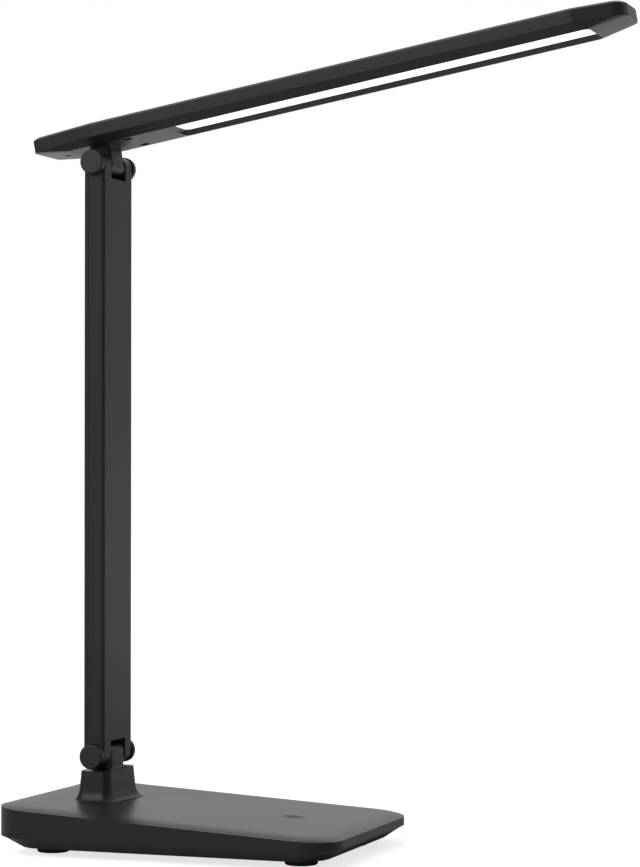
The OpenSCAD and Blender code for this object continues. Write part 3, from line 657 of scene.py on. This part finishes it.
# %% Arm bar
ARM_T, ARM_W, ARM_CORNER, PITCH = 5.7, 17.8, 2.0, 300.0
COVER_X, COVER_END, CROTCH = -2.8, 6.6, 7.4

def arm_bar(name):
    bar = block(name, (-ARM_T, -ARM_W, -ARM_T - 1), (ARM_T, ARM_W, PITCH + ARM_T + 1))
    round_edges(bar, ARM_CORNER, 8, upright)
    ends = block("round_ends", (-ARM_T, -20, -ARM_T), (ARM_T, 20, PITCH + ARM_T))
    round_edges(ends, ARM_T - 0.01, 16, lambda m, d: abs(d.y) > 0.9)
    combine(bar, ends, "INTERSECT")
    for low in (-20, PITCH - CROTCH):
        carve(bar, block("slot", (-10, -8.9, low), (10, 8.9, low + 20 + CROTCH)))
    return bar

housing = arm_bar("arm_front_housing")
carve(housing, block("strip", (-10, -20, COVER_END), (COVER_X, 20, PITCH - COVER_END)),
      block("room", (-5, 2 - ARM_W, CROTCH + 6), (ARM_T - 2, ARM_W - 2, PITCH - CROTCH - 6)))
for z in (0, PITCH):
    carve(housing, rod("bore", BORE_R, (0, -20, z), 40), rod("pocket", 4.3, (0, -20, z), 20 - ARM_W + 4.2),
          rod("pocket", 4.3, (0, ARM_W - 4.2, z), 10))
soften(housing, 0.3)
settle(housing, LOWER_Z, 0, "arm", "black_coat", "arm_housing")

# %% [markdown]
# The rear cover is the other share of the same bar. Only what lies behind the split stays, a little
# smaller, so that a fine shadow line shows along both sides.

# %% Arm cover
cover = arm_bar("arm_rear_cover")
strip = block("strip", (-10, -20, COVER_END + 0.1), (COVER_X - 0.12, 20, PITCH - COVER_END - 0.1))
combine(cover, strip, "INTERSECT")
soften(cover, 0.35)
settle(cover, LOWER_Z, 0, "arm", "black_coat", "arm_cover")

# %% [markdown]
# ## Hinge caps
#
# Each end of each hinge pin is hidden by a round cap with a softly rolled rim. A cap is a short
# cylinder whose outer rim is bevelled; the inner face is inset and pushed out again as the plug that
# snaps into the ear. The one cap is copied four times and turned for the far side.

# %% Caps
CAP_R, CAP_PROUD = 6.25, 3.5
cap = rod("hinge_cap_lower_near", CAP_R, (0, -ARM_W - 0.05 - CAP_PROUD, 0), CAP_PROUD, sides=96)
round_edges(cap, 1.0, 6, lambda m, d: m.y < -ARM_W - CAP_PROUD + 0.1)
pick_faces(cap, lambda m, n: n.y > 0.9)
bpy.ops.mesh.inset(thickness=(CAP_R - 4.2) * MM)
bpy.ops.mesh.extrude_region_move(TRANSFORM_OT_translate={"value": (0, 1.25 * MM, 0)})
bpy.ops.object.mode_set(mode="OBJECT")
soften(cap, 0.15, angle=50)
caps = [(cap, 0, LOWER_Z, "lower_caps")]
for name, turn, height, node in (("hinge_cap_lower_far", math.pi, LOWER_Z, "lower_caps"),
                                 ("hinge_cap_upper_near", 0, UPPER_Z, "upper_caps"),
                                 ("hinge_cap_upper_far", math.pi, UPPER_Z, "upper_caps")):
    again = cap.copy()
    again.data = cap.data.copy()
    again.name = name
    bpy.context.scene.collection.objects.link(again)
    caps.append((again, turn, height, node))
for piece, turn, height, node in caps:
    only(piece)
    piece.rotation_euler = (0, 0, turn)
    bpy.ops.object.transform_apply(location=True, rotation=True, scale=True)
    settle(piece, height, 0, "arm", "dark_plastic", node)

# %% [markdown]
# ## The head
#
# Seen from above the head is a long bar that narrows a little towards both ends, with soft shoulders
# where the narrowing starts. The upper shell is the hull of eight circles at three heights. The top
# ones are smaller, which makes the narrow chamfer that shows as a bright line along the upper edge.

# %% Head outline and upper shell
TAIL, TIP, HEAD_HALF = -33.3, 280.4, 22.3
UNDER, JOIN_Z, TOP_Z, TILT = 8.9, 11.9, 19.55, 9.85

def head_rings(inset, z):
    made = []
    for side in (-1, 1):
        for x in (TAIL + 36.5, TIP - 27):
            made.append(ring(14 - inset, x, side * (HEAD_HALF - 14), z))
        for x, r in ((TAIL + 5, 5), (TIP - 9, 9)):
            made.append(ring(r - inset, x, side * (HEAD_HALF - 5 - r), z))
    return made

CHAMFER_IN, CHAMFER_DOWN = 2.4, 1.4
head_top = hull("head_upper_shell", head_rings(0, JOIN_Z + 0.05) + head_rings(0, TOP_Z - CHAMFER_DOWN)
                + head_rings(CHAMFER_IN, TOP_Z))
carve(head_top, hull("room", head_rings(1.8, JOIN_Z - 1) + head_rings(1.8, TOP_Z - 3)))
soften(head_top, 0.3, angle=24, smooth=20)
settle(head_top, UPPER_Z, TILT, "head", "black_coat", "head_shell")

# %% [markdown]
# The lower cover is the hull of the same outline and of the flat underside. The slot for the light,
# three screw pockets and the neck follow as booleans, and the neck's root gets a small fillet.

# %% Head lower cover
FLAT_HALF, FLAT_X0, FLAT_X1 = 15.5, TAIL + 18.4, TIP - 18.4
SLOT_X0, SLOT_X1, SLOT_HALF = 40.0, 261.4, 14.9
cover_low = hull("head_lower_cover", head_rings(0, JOIN_Z) + plate_rings(FLAT_X0, FLAT_X1, FLAT_HALF, 3, UNDER))
slot = block("slot", (SLOT_X0, -SLOT_HALF, UNDER - 2), (SLOT_X1, SLOT_HALF, JOIN_Z + 2))
round_edges(slot, 3, 8, upright)
pockets = [rod("pocket", 2.45, (x, y, UNDER - 2), 4.4 + extra, "Z", 40)
           for x, y, extra in ((17.5, -10.8, 0), (17.5, 10.8, 0), (-22, 0, 0.3))]
carve(cover_low, slot, *pockets)
neck = tongue("neck", 9.5)
only(neck)
neck.rotation_euler = (math.pi, 0, 0)
bpy.ops.object.transform_apply(location=True, rotation=True, scale=True)
combine(cover_low, neck, "UNION")
print("edges at the neck's root", round_edges(cover_low, 0.35, 2, lambda m, d: abs(m.z - UNDER) < 0.03
      and abs(m.x) < AXIS_R + 0.1 and abs(m.y) < TONGUE_HALF + 0.1))
soften(cover_low, 0.22, angle=24, smooth=20)
settle(cover_low, UPPER_Z, TILT, "head", "black_coat", "head_cover")

# %% [markdown]
# ## Colour handling
#
# The Standard view transform shows a colour as it is written.

# %% Colour handling
bpy.context.scene.view_settings.view_transform = "Standard"
bpy.context.view_layer.update()
